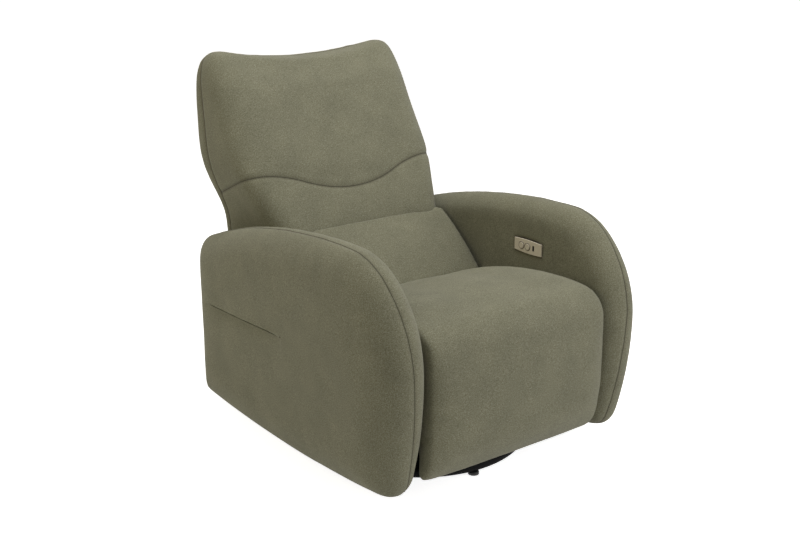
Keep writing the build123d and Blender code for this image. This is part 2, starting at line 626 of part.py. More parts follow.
def back_volume(skin):
    # Whole back as stations up its height: share of the height, half width, front and rear face
    waist, wide, rear = BACK_WAIST_HALF_W - skin, BACK_HALF_W - skin, BACK_REAR - skin
    rise, flare = BACK_TOP - BACK_BOTTOM, wide - waist
    stations = [
        (0, waist - 4, 197, rear - 83),
        (0.082, waist - 2, 205, rear - 77),
        (0.165, waist, 214, rear - 71),
        (0.235, waist + flare * 0.01, 224, rear - 65),
        (0.306, waist + flare * 0.04, 237, rear - 57),
        (0.4, waist + flare * 0.42, 274, rear - 39),
        (0.542, wide - 1, 337, rear - 15),
        (0.714, wide, 407, rear - 2),
        (0.84, wide - 1, 452, rear),
    ]
    rows = [(BACK_BOTTOM + rise * share, *sizes) for share, *sizes in stations]
    rows += [
        (BACK_TOP - 52 - skin, wide - 6, 484, rear - 6),
        (BACK_TOP - 22 - skin, wide - 16, 510, rear - 20),
        (BACK_TOP - skin, wide - 38, 540, rear - 45),
    ]
    body = loft([back_slice(*row) for row in rows])
    half = BACK_HALF_W - BACK_ROUND
    saddle_r = (half**2 + BACK_SADDLE**2) / (2 * BACK_SADDLE)
    return body - rod_y(0, 0, 2 * BACK_REAR, BACK_TOP - BACK_SADDLE - skin + saddle_r, 2 * saddle_r)


def wave_region(z_far, lift):
    # Everything on one side of the wave-shaped seam, which falls towards the rear
    edge = BACK_HALF_W + 20
    raised = lift + WAVE_RATE * WAVE_Y
    mid, crest = WAVE_MID_Z + raised, WAVE_CREST_Z + raised
    turn_x, turn_z = WAVE_CREST_X / 2, (mid + crest) / 2
    dip = ThreePointArc((-turn_x, turn_z), (0, mid), (turn_x, turn_z))
    right = TangentArc((turn_x, turn_z), (edge, crest), tangent=dip % 1)
    left = TangentArc((-turn_x, turn_z), (-edge, crest), tangent=(dip % 0) * -1)
    rim = Polyline((edge, crest), (edge, z_far), (-edge, z_far), (-edge, crest))
    face = Plane.XZ * make_face(Curve() + [dip, right, left, rim])
    return extrude(face, 2 * BACK_REAR, dir=(0, 1, -WAVE_RATE))


def lumbar_slice(x, draw):
    # A leaning pillow: a convex front face from behind the seat's top up to the back
    front, low, rear = LUMBAR_FRONT + max(draw, 0), SEAT_SHELF + 2 * SLIP, BACK_Y - 10
    lip, chin = (front, LUMBAR_LIP), (front + 16, low)
    crown = (LUMBAR_FRONT + 177, LUMBAR_TOP - draw * 0.7)
    face = TangentArc(lip, crown, tangent=(1, 1.05))
    return on_slice(x, [Line(chin, lip), face, Line(crown, (rear, crown[1])),
                        Line((rear, crown[1]), (rear, low)), Line((rear, low), chin)])


def make_back_pads():
    body = back_volume(0)
    parting = Plane((0, BACK_PARTING_BOTTOM, BACK_BOTTOM), x_dir=(1, 0, 0), z_dir=LEAN_OUT)
    pad = split(body, bisect_by=parting, keep=Keep.BOTTOM)
    shell = split(body, bisect_by=parting, keep=Keep.TOP)
    save("back_cover", shell - back_volume(BACK_SKIN))
    save("back_upper_pad", pad & wave_region(2 * BACK_TOP, SEAM / 2))
    lower = pad & wave_region(0, -SEAM / 2)
    for s in (1, -1):
        lower -= span_box(s * BACK_CHEEK_X, s * BACK_HALF_W, 0, BACK_REAR, 0, BACK_CHEEK_TOP)
    save("back_lower_pad", lower)
    rows = cushion_slices(LUMBAR_HALF_W, PAD_EDGE / 2, LUMBAR_ROLL, LUMBAR_CROWN)
    save("lumbar_bolster", loft([lumbar_slice(x, d) for x, d in rows], ruled=True) - body)


def make_back_frame():
    inner = POST_OUT - POST_W
    post = lean_slab(inner, POST_OUT, SLIP, POST_D, -POST_DROP, POST_L - POST_DROP)
    save("left_back_post", post)
    save("right_back_post", mirrored(post))
    rails, straps = [POST_L * u for u in BACK_RAIL_UPS], [POST_L * u for u in STRAP_UPS]
    save("back_rails", *[lean_slab(-inner, inner, SLIP, POST_D, u, u + BACK_RAIL_H) for u in rails])
    save("back_straps", *[lean_slab(-inner, inner, 4, 4 + STRAP_T, u, u + STRAP_H) for u in straps])

    near, far = HINGE_X - 0.5 - HINGE_PLATE_T, HINGE_X - 0.5
    outline = [(BACK_Y, BACK_Z + BACK_EYE_R), lean_point(SLIP, 90), lean_point(POST_D, 90),
               lean_point(POST_D, -POST_DROP), lean_point(SLIP, -POST_DROP), (BACK_Y, BACK_Z - BACK_EYE_R)]
    plate = slab(outline, near, far) + rod_x(near, far, BACK_Y, BACK_Z, 2 * BACK_EYE_R)
    plate -= rod_x(near, far, BACK_Y, BACK_Z, BACK_PIN_D + 2 * RUN)
    save("back_hinge_plates", plate, mirrored(plate))

    bracket = span_box(HINGE_X, SEAT_RAIL_IN, BACK_Y - 68, BACK_Y + BACK_EYE_R,
                       SEAT_FRAME_Z, BACK_Z + BACK_EYE_R)
    bracket -= rod_x(HINGE_X, SEAT_RAIL_IN, BACK_Y, BACK_Z, BACK_PIN_D + RUN)
    save("back_brackets", bracket, mirrored(bracket))

    pin = rod_x(near - 4, SEAT_RAIL_IN, BACK_Y, BACK_Z, BACK_PIN_D)
    pin += rod_x(near - 4, near - SLIP, BACK_Y, BACK_Z, BACK_PIN_D + 8)
    return pin


def make_back_lever():
    angle = BACK_HALF_SWING
    half = ACT_PIN_D / 2 + 1.5
    reach = BACK_DROP / cos(angle)

    def at(along, aside):
        return radial(BACK_Y, BACK_Z, angle, along, aside)

    slot = [at(BACK_DROP - ACT_PIN_D, -half), at(reach + ACT_PIN_D, -half), at(reach + ACT_PIN_D, half),
            at(BACK_DROP - ACT_PIN_D, half)]
    far = reach + 2 * ACT_PIN_D
    outline = [lean_point(2, 0), lean_point(POST_D, 0), at(far, 2 * half), at(far, -2 * half),
               at(BACK_DROP - 2 * ACT_PIN_D, -2 * half)]
    save("back_lever", *fork_plates(BACK_ACT_X, outline, slot))


# Actuators

def make_actuator(name, x, z, mount_y, tube_end, pin_y, rod_end, motor_side):
    # A gearbox on a lug over a cross tube, a guide tube and a rod whose eye carries a cross pin
    way = 1 if tube_end > mount_y else -1
    box_end = mount_y + way * GEARBOX_L
    half = EYE_H / 2
    lug_half = EYE_W / 2
    gearbox = span_box(x - lug_half, x + lug_half, mount_y - way * half, box_end, z - half, z + half)
    gearbox = fillet(gearbox.edges().filter_by(Axis.X), half / 2)
    motor_y = box_end - way * MOTOR_D * 0.6
    gearbox += rod_x(x + motor_side * lug_half, x + motor_side * (lug_half + MOTOR_L), motor_y, z, MOTOR_D)
    save(f"{name}_motor", gearbox - rod_x(x - lug_half, x + lug_half, mount_y, z, MOUNT_PIN_D + RUN))
    tube = rod_y(x, box_end, tube_end, z, TUBE_D) - rod_y(x, box_end, tube_end, z, ROD_D + 2 * RUN)
    save(f"{name}_guide", tube)
    rod = rod_y(x, pin_y, rod_end, z, ROD_D)
    eye = span_box(x - lug_half, x + lug_half, pin_y - half, pin_y + half, z - half, z + half)
    eye = fillet(eye.edges().filter_by(Axis.X), half / 2)
    pin_half = lug_half + FORK_GAP + FORK_T + 2
    save(f"{name}_rod", rod + eye + rod_x(x - pin_half, x + pin_half, pin_y, z, ACT_PIN_D))
    cheeks = []
    for s in (1, -1):
        x0 = x + s * (lug_half + SLIP)
        cheek = span_box(x0, x0 + s * LUG_T, mount_y - TUBE_W / 2, mount_y + TUBE_W / 2,
                         CHASSIS_TOP, z + half)
        cheeks.append(cheek - rod_x(x0, x0 + s * LUG_T, mount_y, z, MOUNT_PIN_D + RUN))
    pin_half = lug_half + SLIP + LUG_T + 2
    return cheeks, rod_x(x - pin_half, x + pin_half, mount_y, z, MOUNT_PIN_D)


def make_actuators():
    foot_tube_end = FOOT_PIN_Y + EYE_H / 2 + 32
    foot_rod_end = foot_tube_end + FOOT_STROKE + 36
    foot_mount, foot_pin = make_actuator("footrest_actuator", 0, FOOT_ROD_Z, CROSS_SPREAD,
                                         foot_tube_end, FOOT_PIN_Y, foot_rod_end, -1)
    back_tube_end = BACK_PIN_Y - BACK_STROKE - EYE_H / 2 - 10
    back_rod_end = back_tube_end - BACK_STROKE
    back_mount, back_pin = make_actuator("back_actuator", BACK_ACT_X, BACK_ROD_Z, -CROSS_SPREAD,
                                         back_tube_end, BACK_PIN_Y, back_rod_end, 1)
    save("actuator_mounts", *foot_mount, *back_mount)
    save("actuator_pins", foot_pin, back_pin)


make_base()
make_swivel()
make_chassis()
make_arms()
make_controls()
make_seat_frame()
make_springs()
make_seat_cushion()
make_footrest_pads()
knee_pin = make_footrest_frame()
make_footrest_lever()
make_back_pads()
back_pin = make_back_frame()
make_back_lever()
save("hinge_pins", *[p for pin in (knee_pin, back_pin) for p in (pin, mirrored(pin))])
make_actuators()
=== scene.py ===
import json
import math

import bmesh
import bpy
import numpy as np
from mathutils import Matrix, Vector
from mathutils.bvhtree import BVHTree

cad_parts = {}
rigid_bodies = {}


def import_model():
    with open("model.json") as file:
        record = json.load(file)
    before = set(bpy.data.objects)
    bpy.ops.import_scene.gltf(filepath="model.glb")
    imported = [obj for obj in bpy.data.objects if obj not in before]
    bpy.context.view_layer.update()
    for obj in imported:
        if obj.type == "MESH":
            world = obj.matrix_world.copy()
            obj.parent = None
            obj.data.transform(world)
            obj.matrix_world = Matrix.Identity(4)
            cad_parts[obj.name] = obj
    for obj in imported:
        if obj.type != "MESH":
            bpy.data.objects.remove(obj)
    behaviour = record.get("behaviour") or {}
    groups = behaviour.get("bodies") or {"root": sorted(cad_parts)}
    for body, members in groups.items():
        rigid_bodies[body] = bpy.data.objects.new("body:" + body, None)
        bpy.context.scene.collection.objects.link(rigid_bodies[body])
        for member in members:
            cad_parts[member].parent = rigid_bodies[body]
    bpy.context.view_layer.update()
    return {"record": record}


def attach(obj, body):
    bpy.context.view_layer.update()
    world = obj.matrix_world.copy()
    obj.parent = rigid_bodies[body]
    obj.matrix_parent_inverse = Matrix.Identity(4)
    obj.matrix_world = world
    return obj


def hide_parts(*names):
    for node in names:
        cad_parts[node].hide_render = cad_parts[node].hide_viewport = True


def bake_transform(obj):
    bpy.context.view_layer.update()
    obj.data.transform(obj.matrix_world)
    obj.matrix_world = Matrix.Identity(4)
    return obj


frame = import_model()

print("stage: frame loaded")


# selecting and copying

def deselectAll():
    if bpy.context.object and bpy.context.object.mode != "OBJECT":
        bpy.ops.object.mode_set(mode="OBJECT")
    bpy.ops.object.select_all(action="DESELECT")


def pick(*objs):
    deselectAll()
    for obj in objs:
        obj.select_set(True)
    bpy.context.view_layer.objects.active = objs[0]


def applyMod(obj, mod):
    pick(obj)
    bpy.ops.object.modifier_apply(modifier=mod.name)


def copyNodes(name, nodes, flipX=False):
    # one new object from copies of CAD solids, merged so that each is a closed skin
    copies = []
    for node in nodes:
        part = bpy.data.objects.new(name, bpy.data.objects[node].data.copy())
        bpy.context.scene.collection.objects.link(part)
        copies.append(part)
    pick(*copies)
    if len(copies) > 1:
        bpy.ops.object.join()
    obj = copies[0]
    obj.name = name
    obj.data.materials.clear()
    bpy.ops.object.mode_set(mode="EDIT")
    bpy.ops.mesh.select_all(action="SELECT")
    bpy.ops.mesh.remove_doubles(threshold=0.00001)
    if flipX:
        bpy.ops.transform.resize(value=(-1, 1, 1), center_override=(0, 0, 0))
        bpy.ops.mesh.flip_normals()
    bpy.ops.object.mode_set(mode="OBJECT")
    return obj


def readPoints(obj):
    flat = np.empty(len(obj.data.vertices) * 3)
    obj.data.vertices.foreach_get("co", flat)
    return flat.reshape(-1, 3)


def readNormals(obj):
    flat = np.empty(len(obj.data.vertices) * 3)
    obj.data.vertices.foreach_get("normal", flat)
    return flat.reshape(-1, 3)


def writePoints(obj, points):
    obj.data.vertices.foreach_set("co", points.ravel())
    obj.data.update()


def setMask(obj, name, values):
    layer = obj.data.attributes.get(name) or obj.data.attributes.new(name, "FLOAT", "POINT")
    layer.data.foreach_set("value", np.ascontiguousarray(values, dtype=np.float32))


def bump(distance, width):
    return np.exp(-(distance / width) ** 2)


def smoothStep(low, high, value):
    t = np.clip((value - low) / (high - low), 0, 1)
    return t * t * (3 - 2 * t)


# padding

def voxelSkin(obj, size, smooth):
    mod = obj.modifiers.new("skin", "REMESH")
    mod.mode = "VOXEL"
    mod.voxel_size = size
    applyMod(obj, mod)
    if smooth:
        mod = obj.modifiers.new("soften", "SMOOTH")
        mod.factor = 0.5
        mod.iterations = smooth
        applyMod(obj, mod)


def evenOut(obj, values, rounds):
    # averages a value over neighbouring points, as the wadding under the cloth does with its folds
    ends = np.empty(len(obj.data.edges) * 2, dtype=np.int32)
    obj.data.edges.foreach_get("vertices", ends)
    a, b = ends[0::2], ends[1::2]
    count = len(values)
    degree = np.bincount(ends, minlength=count)
    for _ in range(rounds):
        near = np.bincount(a, values[b], count) + np.bincount(b, values[a], count)
        values = (values + near / degree) / 2
    return values


filling = {
    "quality": 4, "mass": 0.25, "stretch": 12, "shear": 6, "bending": 0.6, "pressure": 4.0, "frames": 20,
    "holdSteps": 10, "evenRounds": 40,
}


def swell(obj, held, cap):
    # cloth under pressure, held along its seams, with each point's outward move capped
    start, normals = readPoints(obj), readNormals(obj)
    group = obj.vertex_groups.new(name="held")
    steps = filling["holdSteps"]
    levels = np.round(np.clip(held, 0, 1) * steps)
    for level in range(1, steps + 1):
        picked = np.where(levels == level)[0]
        group.add(picked.tolist(), level / steps, "REPLACE")
    mod = obj.modifiers.new("cloth", "CLOTH")
    cloth = mod.settings
    cloth.quality = filling["quality"]
    cloth.mass = filling["mass"]
    cloth.tension_stiffness = filling["stretch"]
    cloth.compression_stiffness = filling["stretch"]
    cloth.shear_stiffness = filling["shear"]
    cloth.bending_stiffness = filling["bending"]
    cloth.use_pressure = True
    cloth.uniform_pressure_force = filling["pressure"]
    cloth.effector_weights.gravity = 0
    cloth.vertex_group_mass = group.name
    mod.collision_settings.use_collision = False
    mod.point_cache.frame_start = 1
    mod.point_cache.frame_end = filling["frames"]
    scene = bpy.context.scene
    for step in range(1, filling["frames"] + 1):
        scene.frame_set(step)
    applyMod(obj, mod)
    scene.frame_set(1)
    outward = np.sum((readPoints(obj) - start) * normals, axis=1)
    outward = evenOut(obj, np.clip(outward, 0, cap), filling["evenRounds"])
    writePoints(obj, start + normals * np.minimum(outward, cap)[:, None])
    obj.vertex_groups.clear()


def subdivide(obj):
    mod = obj.modifiers.new("smooth", "SUBSURF")
    mod.levels = 1
    mod.render_levels = 1
    applyMod(obj, mod)
    pick(obj)
    bpy.ops.object.shade_smooth()


def pressIn(obj, depth):
    # moves each point inwards along its normal
    writePoints(obj, readPoints(obj) - readNormals(obj) * depth[:, None])


def wrinkle(points, size, seed):
    # smooth seeded unevenness from a few crossed waves
    rng = np.random.default_rng(seed)
    total = np.zeros(len(points))
    for k in range(7):
        way = rng.normal(size=3)
        way /= np.linalg.norm(way)
        total += np.sin(points @ way * (2 * math.pi / (size * rng.uniform(0.7, 1.5))) + rng.uniform(0, 6.28))
    return total / 7


# threads and welts along a path

def tubeAlong(name, path, radius, closed=False):
    curve = bpy.data.curves.new(name, "CURVE")
    curve.dimensions = "3D"
    curve.bevel_depth = radius
    curve.bevel_resolution = 1
    curve.use_fill_caps = not closed
    line = curve.splines.new("POLY")
    line.points.add(len(path) - 1)
    line.points.foreach_set("co", np.hstack([path, np.ones((len(path), 1))]).ravel())
    line.use_cyclic_u = closed
    obj = bpy.data.objects.new(name, curve)
    bpy.context.scene.collection.objects.link(obj)
    pick(obj)
    bpy.ops.object.convert(target="MESH")
    bpy.ops.object.shade_smooth()
    return bpy.context.object


def cutLoop(obj, point, normal):
    # the outline that a plane cuts from a piece, as an ordered ring of points
    copy = bpy.data.objects.new("cut", obj.data.copy())
    bpy.context.scene.collection.objects.link(copy)
    pick(copy)
    bpy.ops.object.mode_set(mode="EDIT")
    bpy.ops.mesh.select_all(action="SELECT")
    bpy.ops.mesh.bisect(plane_co=point, plane_no=normal, clear_inner=True, clear_outer=True)
    bpy.ops.object.mode_set(mode="OBJECT")
    grid = bmesh.new()
    grid.from_mesh(copy.data)
    rings = []
    seen = set()
    for first in grid.verts:
        if first in seen:
            continue
        ring, here = [], first
        while here and here not in seen:
            seen.add(here)
            ring.append(here.co.copy())
            here = next((e.other_vert(here) for e in here.link_edges if e.other_vert(here) not in seen), None)
        rings.append(ring)
    grid.free()
    bpy.data.objects.remove(copy)
    longest = max(rings, key=lambda ring: sum((a - b).length for a, b in zip(ring, ring[1:])))
    return np.array([list(p) for p in longest])


def evenPath(path, step):
    lengths = np.concatenate([[0], np.cumsum(np.linalg.norm(np.diff(path, axis=0), axis=1))])
    count = max(int(lengths[-1] / step), 4)
    at = np.linspace(0, lengths[-1], count)
    return np.column_stack([np.interp(at, lengths, path[:, k]) for k in range(3)])


# materials

def newMaterial(name):
    mat = bpy.data.materials.new(name)
    mat.use_nodes = True
    return mat, mat.node_tree.nodes, mat.node_tree.links, mat.node_tree.nodes["Principled BSDF"]


def addNode(nodes, kind, **values):
    node = nodes.new(kind)
    for key, value in values.items():
        if key in node.inputs:
            node.inputs[key].default_value = value
        else:
            setattr(node, key, value)
    return node


weave = {
    "shade": (0.110, 0.104, 0.064, 1),
    "mid": (0.176, 0.170, 0.114, 1),
    "lit": (0.275, 0.268, 0.195, 1),
    # painted shade: the colour the cloth darkens to in seam creases, beside the welt and round the control
    # plate
    "paintedShade": (0.045, 0.038, 0.024, 1),
    "shadeAt": 0.30,
    "midAt": 0.5,
    "litAt": 0.72,
    "mottle": 0.22,
    "fleckScale": 420,
    "yarnScale": 1500,
    "cloudScale": 14,
}


def makeWeave():
    mat, nodes, links, shader = newMaterial("sageWeave")
    coords = addNode(nodes, "ShaderNodeTexCoord")
    fleck = addNode(nodes, "ShaderNodeTexNoise", Scale=weave["fleckScale"], Detail=3.0, Roughness=0.7)
    yarn = addNode(nodes, "ShaderNodeTexNoise", Scale=weave["yarnScale"], Detail=2.0, Roughness=0.6)
    cloud = addNode(nodes, "ShaderNodeTexNoise", Scale=weave["cloudScale"], Detail=4.0, Roughness=0.6)
    for texture in (fleck, yarn, cloud):
        links.new(coords.outputs["Object"], texture.inputs["Vector"])
    tones = addNode(nodes, "ShaderNodeValToRGB")
    tones.color_ramp.elements[0].position = weave["shadeAt"]
    tones.color_ramp.elements[0].color = weave["shade"]
    tones.color_ramp.elements[1].position = weave["litAt"]
    tones.color_ramp.elements[1].color = weave["lit"]
    middle = tones.color_ramp.elements.new(weave["midAt"])
    middle.color = weave["mid"]
    links.new(fleck.outputs["Fac"], tones.inputs["Fac"])
    mottle = addNode(nodes, "ShaderNodeMix", data_type="RGBA", blend_type="OVERLAY")
    mottle.inputs["Factor"].default_value = weave["mottle"]
    links.new(tones.outputs["Color"], mottle.inputs["A"])
    links.new(cloud.outputs["Fac"], mottle.inputs["B"])
    # painted shade: the paintedShade mask darkens the cloth towards the painted shade colour
    mask = addNode(nodes, "ShaderNodeAttribute", attribute_name="paintedShade")
    dark = addNode(nodes, "ShaderNodeMix", data_type="RGBA")
    dark.inputs["B"].default_value = weave["paintedShade"]
    links.new(mask.outputs["Fac"], dark.inputs["Factor"])
    links.new(mottle.outputs["Result"], dark.inputs["A"])
    links.new(dark.outputs["Result"], shader.inputs["Base Color"])
    fine = addNode(nodes, "ShaderNodeBump", Strength=0.55, Distance=0.0008)
    links.new(fleck.outputs["Fac"], fine.inputs["Height"])
    finest = addNode(nodes, "ShaderNodeBump", Strength=0.35, Distance=0.0004)
    links.new(yarn.outputs["Fac"], finest.inputs["Height"])
    links.new(fine.outputs["Normal"], finest.inputs["Normal"])
    links.new(finest.outputs["Normal"], shader.inputs["Normal"])
    shader.inputs["Roughness"].default_value = 0.93
    shader.inputs["Specular IOR Level"].default_value = 0.18
    shader.inputs["Sheen Weight"].default_value = 0.12
    shader.inputs["Sheen Roughness"].default_value = 0.55
    return mat


def makeFinish(name, colour, rough, metal=0.0, grain=300.0, tint=0.25, shine=0.5):
    # a plain finish with fine grain in its colour, gloss and surface
    mat, nodes, links, shader = newMaterial(name)
    coords = addNode(nodes, "ShaderNodeTexCoord")
    noise = addNode(nodes, "ShaderNodeTexNoise", Scale=grain, Detail=4.0, Roughness=0.6)
    links.new(coords.outputs["Object"], noise.inputs["Vector"])
    ramp = addNode(nodes, "ShaderNodeValToRGB")
    ramp.color_ramp.elements[0].color = tuple(c * (1 - tint) for c in colour) + (1,)
    ramp.color_ramp.elements[1].color = tuple(min(c * (1 + tint), 1) for c in colour) + (1,)
    links.new(noise.outputs["Fac"], ramp.inputs["Fac"])
    links.new(ramp.outputs["Color"], shader.inputs["Base Color"])
    gloss = addNode(nodes, "ShaderNodeMapRange")
    gloss.inputs["To Min"].default_value = rough - 0.07
    gloss.inputs["To Max"].default_value = rough + 0.07
    links.new(noise.outputs["Fac"], gloss.inputs["Value"])
    links.new(gloss.outputs["Result"], shader.inputs["Roughness"])
    relief = addNode(nodes, "ShaderNodeBump", Strength=0.3, Distance=0.0002)
    links.new(noise.outputs["Fac"], relief.inputs["Height"])
    links.new(relief.outputs["Normal"], shader.inputs["Normal"])
    shader.inputs["Metallic"].default_value = metal
    shader.inputs["Specular IOR Level"].default_value = shine
    return mat


def makeWood():
    mat, nodes, links, shader = newMaterial("framePly")
    coords = addNode(nodes, "ShaderNodeTexCoord")
    stretch = addNode(nodes, "ShaderNodeMapping")
    stretch.inputs["Scale"].default_value = (60, 6, 60)
    links.new(coords.outputs["Object"], stretch.inputs["Vector"])
    grain = addNode(nodes, "ShaderNodeTexNoise", Scale=2.0, Detail=6.0, Roughness=0.65)
    links.new(stretch.outputs["Vector"], grain.inputs["Vector"])
    ramp = addNode(nodes, "ShaderNodeValToRGB")
    ramp.color_ramp.elements[0].color = (0.30, 0.18, 0.09, 1)
    ramp.color_ramp.elements[1].color = (0.52, 0.36, 0.20, 1)
    links.new(grain.outputs["Fac"], ramp.inputs["Fac"])
    links.new(ramp.outputs["Color"], shader.inputs["Base Color"])
    shader.inputs["Roughness"].default_value = 0.7
    return mat


sageWeave = makeWeave()
seamThread = makeFinish("seamThread", (0.055, 0.047, 0.030), 0.9, grain=900.0)
# painted shade: a dark finish for the rings that stand in for the shadow round each button
rimSatin = makeFinish("rimSatin", (0.17, 0.145, 0.11), 0.5, grain=500.0, tint=0.06)
weltCloth = makeFinish("weltCloth", (0.125, 0.114, 0.076), 0.9, grain=420.0, tint=0.35)
slotFinishes = {
    "frame_wood": makeWood(),
    "black_steel": makeFinish("blackPowder", (0.005, 0.005, 0.005), 0.65, grain=700.0, shine=0.08),
    "bright_steel": makeFinish("zincSteel", (0.55, 0.55, 0.54), 0.35, metal=1.0, grain=200.0, tint=0.1),
    "black_plastic": makeFinish("blackMoulding", (0.016, 0.016, 0.017), 0.5, grain=900.0),
    "taupe_satin": makeFinish("taupeSatin", (0.68, 0.61, 0.50), 0.38, metal=0.25, grain=500.0, tint=0.06),
    "webbing": makeFinish("blackWebbing", (0.02, 0.02, 0.02), 0.85, grain=600.0),
    "upholstery": sageWeave,
}
for part in frame["record"]["subparts"]:
    node = bpy.data.objects[part["node"]]
    for index in range(max(len(node.data.materials), 1)):
        if len(node.data.materials) <= index:
            node.data.materials.append(None)
        node.data.materials[index] = slotFinishes[part["material_slot"]]

print("stage: materials made")


def finishPad(obj, body, paintedShade):
    # the paintedShade mask marks where painted shade darkens the cloth
    setMask(obj, "paintedShade", paintedShade)
    obj.data.materials.clear()
    obj.data.materials.append(sageWeave)
    if body:
        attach(obj, body)


def finishTrim(obj, mat, body):
    obj.data.materials.clear()
    obj.data.materials.append(mat)
    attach(obj, body)


# arms: a band and a pillowed outer panel, sewn together

arm = {
    "voxel": 0.008, "soften": 6, "cap": 0.009, "innerCap": 0.001, "innerX": (0.300, 0.280),
    "heldZ": (0.10, 0.06),
    "seamX": 0.329, "seamTilt": 0.045, "seamZ": 0.36, "seamHeld": 0.007, "groove": 0.0012, "grooveWidth": 0.006,
    "paintedShadeWidth": 0.003, "paintedShade": 0.45, "thread": 0.0007, "threadStep": 0.006,
    "pucker": 0.0008, "puckerSize": 0.045, "puckerWidth": 0.030, "loose": 0.0012, "looseSize": 0.16,
    "seeds": (11, 21),
    "plateY": -0.215, "plateZ": 0.499, "plateFlat": 0.07, "plateHalfY": 0.050, "plateHalfZ": 0.016,
    "plateShade": 0.75, "plateShadeWidth": 0.006,
}


def seamGap(points):
    # distance from the seam, which leans outwards towards the top
    return np.abs(np.abs(points[:, 0]) - arm["seamX"] - arm["seamTilt"] * (points[:, 2] - arm["seamZ"]))


def innerFlat(points):
    # the inner face, and on it the flat ground of the control plate
    inner = smoothStep(*arm["innerX"], np.abs(points[:, 0]))
    fromPlate = np.hypot(points[:, 1] - arm["plateY"], points[:, 2] - arm["plateZ"])
    return inner, bump(fromPlate, arm["plateFlat"]) * inner


def plateShade(points):
    # painted shade: the cloth darkens where it meets the edge of the control plate
    pastY = np.abs(points[:, 1] - arm["plateY"]) - arm["plateHalfY"]
    pastZ = np.abs(points[:, 2] - arm["plateZ"]) - arm["plateHalfZ"]
    edge = bump(np.maximum(np.maximum(pastY, pastZ), 0), arm["plateShadeWidth"])
    return arm["plateShade"] * edge * smoothStep(*arm["innerX"], np.abs(points[:, 0]))


pocket = {
    "front": -0.086, "rear": 0.350, "zFront": 0.357, "zRear": 0.333, "lip": 0.0035, "sink": 0.0085,
    "fade": 0.035,
    "mouth": (0.018, 0.190, 0.0028), "slot": (-0.377, 0.006), "slotBottom": 0.190, "dot": 0.0022,
    "outerX": -0.36, "lipFade": 0.016, "sinkEdge": 0.003, "lipEdge": (0.002, -0.004), "slotDrop": 0.004,
    "slotShift": 0.02, "slotShare": 1.7, "slotRound": 0.002, "mouthShift": 0.01, "mouthDrop": 0.8,
    "smoothAngle": 50, "dotIn": 0.004,
}


def pocketLine(y):
    # how far along the mouth, and the height of its lip there
    t = (y - pocket["front"]) / (pocket["rear"] - pocket["front"])
    return t, pocket["zFront"] + (pocket["zRear"] - pocket["zFront"]) * t


def pocketFold(points):
    # the lip stands proud and the cloth front below it hangs a little inwards
    t, height = pocketLine(points[:, 1])
    gape = np.sqrt(np.clip(np.sin(np.clip(t, 0, 1) * math.pi), 0, 1)) * (points[:, 0] < pocket["outerX"])
    under = height - points[:, 2]
    sunk = smoothStep(-pocket["sinkEdge"], pocket["sinkEdge"], under)
    sunk *= np.exp(-np.maximum(under, 0) / pocket["fade"])
    proud = smoothStep(*pocket["lipEdge"], under) * np.exp(-np.maximum(-under, 0) / pocket["lipFade"])
    return gape * (pocket["sink"] * sunk - pocket["lip"] * proud)


def buildArm(side, name, band, panel):
    obj = copyNodes(name, [band])
    outer = copyNodes("outer", ["left_arm_panel"], flipX=side < 0)
    pick(obj, outer)
    bpy.ops.object.join()
    voxelSkin(obj, arm["voxel"], arm["soften"])
    points = readPoints(obj)
    inner, flat = innerFlat(points)
    low = smoothStep(*arm["heldZ"], points[:, 2])
    held = np.maximum(bump(seamGap(points), arm["seamHeld"]), np.maximum(low, flat))
    swell(obj, held, (arm["cap"] * (1 - inner) + arm["innerCap"] * inner) * (1 - flat))
    subdivide(obj)
    points = readPoints(obj)
    flat = innerFlat(points)[1]
    fromSeam = seamGap(points)
    pullSeed, looseSeed = (seed + side for seed in arm["seeds"])
    groove = arm["groove"] * bump(fromSeam, arm["grooveWidth"])
    pull = arm["pucker"] * wrinkle(points, arm["puckerSize"], pullSeed) * bump(fromSeam, arm["puckerWidth"])
    loose = arm["loose"] * wrinkle(points, arm["looseSize"], looseSeed) * (1 - flat)
    fold = pocketFold(points) if side < 0 else 0
    pressIn(obj, groove + pull + loose + fold)
    ring = cutLoop(obj, (side * arm["seamX"], 0, arm["seamZ"]), (side, 0, -arm["seamTilt"]))
    points = readPoints(obj)
    # painted shade along the seam crease, and round the control plate on the inner arm
    paintedShade = arm["paintedShade"] * bump(seamGap(points), arm["paintedShadeWidth"])
    if side > 0:
        paintedShade = np.maximum(paintedShade, plateShade(points))
    finishPad(obj, "chassis", paintedShade)
    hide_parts(band, panel)
    thread = tubeAlong(name + "Seam", evenPath(ring, arm["threadStep"]), arm["thread"], closed=True)
    finishTrim(thread, seamThread, "chassis")
    return obj


leftArm = buildArm(1, "leftArm", "left_arm_band", "left_arm_panel")
rightArm = buildArm(-1, "rightArm", "right_arm_band", "right_arm_panel")
print("stage: arms padded")


# control plate: a dark ring round each button, painted shade in the gap round it

buttons = {"ys": (-0.191, -0.214), "face": 0.2726, "radius": 0.0097, "rim": 0.0011}


def buildShadeRings():
    for index, y in enumerate(buttons["ys"]):
        deselectAll()
        bpy.ops.mesh.primitive_torus_add(major_radius=buttons["radius"], minor_radius=buttons["rim"],
                                         major_segments=48, minor_segments=10, rotation=(0, math.pi / 2, 0),
                                         location=(buttons["face"], y, arm["plateZ"]))
        bpy.ops.object.transform_apply(location=True, rotation=True)
        rim = bpy.context.object
        rim.name = f"buttonRim{index + 1}"
        bpy.ops.object.shade_smooth()
        rim.data.materials.append(rimSatin)
        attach(rim, "chassis")


buildShadeRings()


# seat and footrest: one cover that runs over the nose

